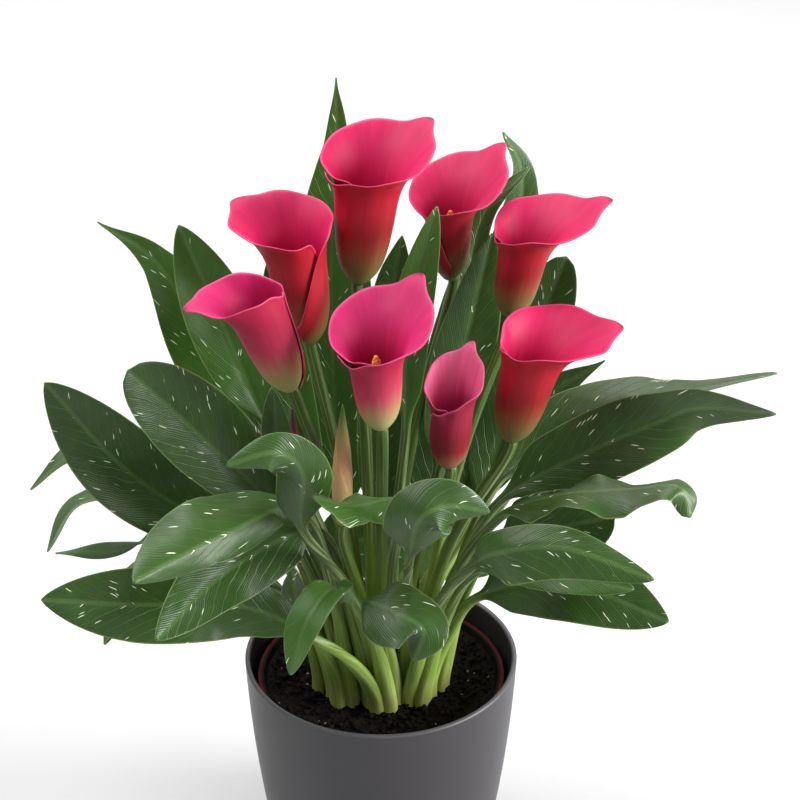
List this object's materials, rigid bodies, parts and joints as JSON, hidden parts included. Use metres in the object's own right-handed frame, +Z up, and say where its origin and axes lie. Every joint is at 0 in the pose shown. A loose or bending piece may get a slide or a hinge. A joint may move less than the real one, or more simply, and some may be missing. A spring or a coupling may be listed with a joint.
{
  "type": "potted calla lily",
  "caption": "Flowering potted calla lily: pink funnel blooms and wavy green leaves on stalks that stand in soil in a grow pot, inside a round matt cover pot.",
  "frame": {"origin": "middle of the cover pot's flat underside, on the surface that it stands on", "axes": "+Z up along the pot's axis, -Y towards the plant's front as pictured, +X to the front view's right"},
  "size_m": [0.4188, 0.2518, 0.451],
  "materials": {
    "cover_pot": "smooth matt, anthracite",
    "grow_pot": "thin, matt, dark maroon brown",
    "soil": "loose, crumbly, dark brown",
    "leaf": "semi-gloss deep green with short white dashes",
    "stem": "satin yellow green",
    "spathe": "satin pink, crimson and olive towards the foot",
    "bud_olive": "satin olive and salmon with a green tip",
    "bud_maroon": "satin maroon"
  },
  "bodies": {
    "root": {"cover_pot": "cover_pot", "grow_pot": "grow_pot", "soil": "soil", "leaf_left_1": "leaf", "leaf_left_2": "leaf", "leaf_left_3": "leaf", "leaf_left_4": "leaf", "leaf_left_5": "leaf", "leaf_left_6": "leaf", "leaf_left_7": "leaf", "leaf_left_8": "leaf", "leaf_left_9": "leaf", "leaf_left_10": "leaf", "leaf_left_11": "leaf", "leaf_left_12": "leaf", "leaf_left_13": "leaf", "leaf_front_1": "leaf", "leaf_front_2": "leaf", "leaf_front_3": "leaf", "leaf_front_4": "leaf", "leaf_front_5": "leaf", "leaf_right_1": "leaf", "leaf_right_2": "leaf", "leaf_right_3": "leaf", "leaf_right_4": "leaf", "leaf_right_5": "leaf", "leaf_right_6": "leaf", "leaf_right_7": "leaf", "leaf_back_1": "leaf", "leaf_back_2": "leaf", "leaf_back_3": "leaf", "leaf_back_4": "leaf", "leaf_back_5": "leaf", "leaf_back_6": "leaf", "leaf_back_7": "leaf", "leaf_back_8": "leaf", "leaf_back_9": "leaf", "leaf_back_10": "leaf", "leaf_back_11": "leaf", "flower_1_stem": "stem", "flower_1_spathe": "spathe", "flower_2_stem": "stem", "flower_2_spathe": "spathe", "flower_3_stem": "stem", "flower_3_spathe": "spathe", "flower_4_stem": "stem", "flower_4_spathe": "spathe", "flower_5_stem": "stem", "flower_5_spathe": "spathe", "flower_6_stem": "stem", "flower_6_spathe": "spathe", "flower_7_stem": "stem", "flower_7_spathe": "spathe", "flower_8_stem": "stem", "flower_8_spathe": "spathe", "bud_1_stem": "stem", "bud_1_spathe": "bud_olive", "bud_2_stem": "stem", "bud_2_spathe": "bud_maroon"}
  },
  "joints": []
}
